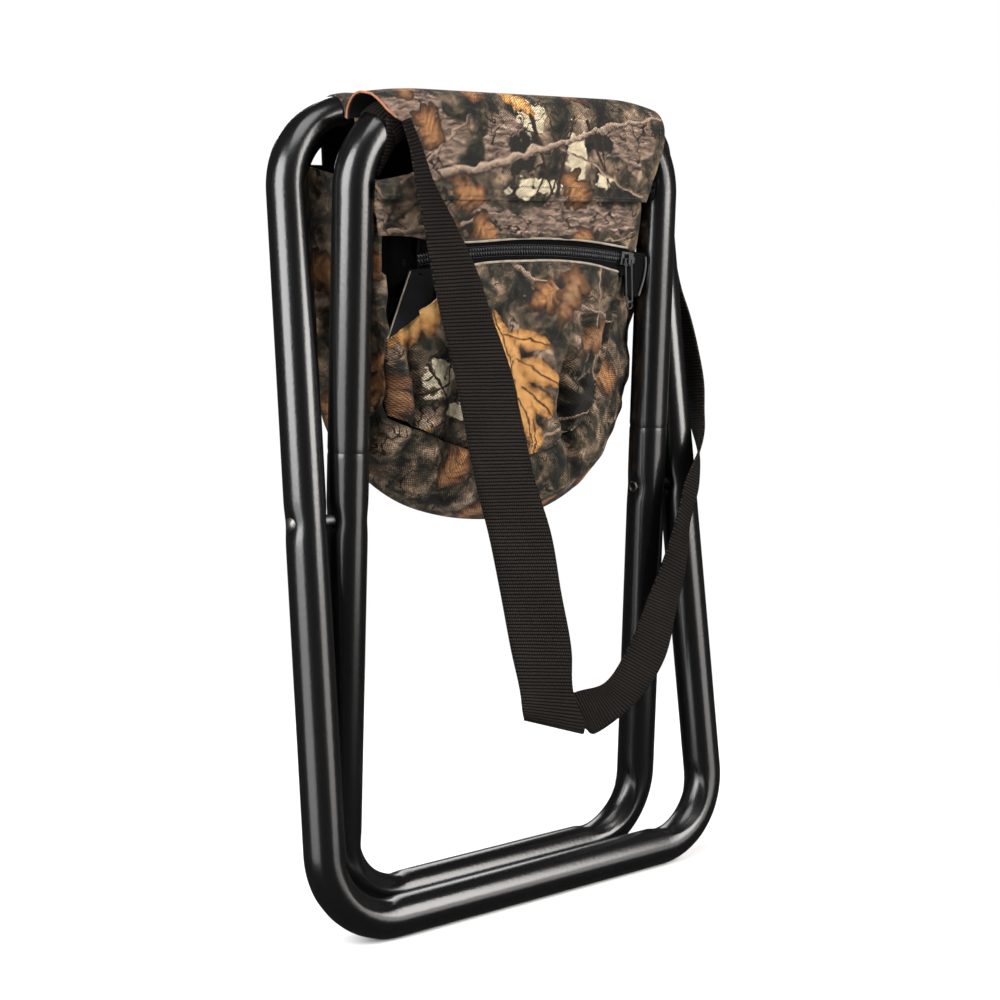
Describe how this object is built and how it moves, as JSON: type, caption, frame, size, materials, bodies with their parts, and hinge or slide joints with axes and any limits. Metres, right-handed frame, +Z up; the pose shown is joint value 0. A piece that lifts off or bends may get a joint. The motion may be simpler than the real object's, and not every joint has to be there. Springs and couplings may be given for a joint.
{
  "type": "folding stool",
  "caption": "Folding X-frame stool of bent round tube, with a cloth seat sleeved over the top rails, a zipped pouch hung beneath it and a webbing carry strap.",
  "frame": {"origin": "on the ground, below the middle of the pivot axis", "axes": "+Z up, +X along the pivot axis to the right, -Y towards the zipped front of the pouch"},
  "size_m": [0.3491, 0.1008, 0.5052],
  "materials": {
    "black_steel": "satin black powder coat",
    "plain_steel": "plain zinc",
    "bright_steel": "nickel plated",
    "camo_cloth": "woven polyester with a woodland leaf and bark print",
    "zip_cloth": "black woven tape",
    "zip_teeth": "black nylon",
    "zip_metal": "black lacquer",
    "webbing": "black ribbed polypropylene webbing"
  },
  "bodies": {
    "outer_frame": {"outer_frame_tube": "black_steel", "outer_frame_plug": "plain_steel", "pivot_rivet_left": "bright_steel", "pivot_rivet_right": "bright_steel", "pivot_spacer_left": "plain_steel", "pivot_spacer_right": "plain_steel", "pivot_washer_left": "bright_steel", "pivot_washer_right": "bright_steel", "rear_sleeve": "camo_cloth", "seat_panel": "camo_cloth", "pouch_back_panel": "camo_cloth", "pouch_gusset": "camo_cloth", "strap_loop_rear": "webbing", "carry_strap": "webbing"},
    "inner_frame": {"inner_upper_tube": "black_steel", "inner_lower_tube": "black_steel", "front_sleeve": "camo_cloth", "pouch_front_band": "camo_cloth", "pouch_front_panel": "camo_cloth", "zip_tape_upper": "zip_cloth", "zip_tape_lower": "zip_cloth", "zip_teeth_upper": "zip_teeth", "zip_teeth_lower": "zip_teeth", "zip_stops": "zip_metal", "zip_end_tabs": "zip_cloth", "strap_loop_front": "webbing"},
    "zip_slider": {"zip_slider": "zip_metal"},
    "zip_pull": {"zip_pull": "zip_metal"}
  },
  "joints": [
    {"name": "fold", "type": "hinge", "parent": "outer_frame", "child": "inner_frame", "pos_m": [0, 0, 0.25372], "axis": [1, 0, 0], "range_deg": [0, 54], "deforming": ["seat_panel", "pouch_gusset", "carry_strap"]},
    {"name": "zip", "type": "hinge", "parent": "inner_frame", "child": "zip_slider", "pos_m": [0, 0.02448, -0.18774], "axis": [0, -0.9968, -0.0802], "range_deg": [0, 16.1]},
    {"name": "zip_pull_swing", "type": "hinge", "parent": "zip_slider", "child": "zip_pull", "pos_m": [0.084, -0.02635, 0.40418], "axis": [1, 0, 0], "range_deg": [-150, 6]}
  ]
}
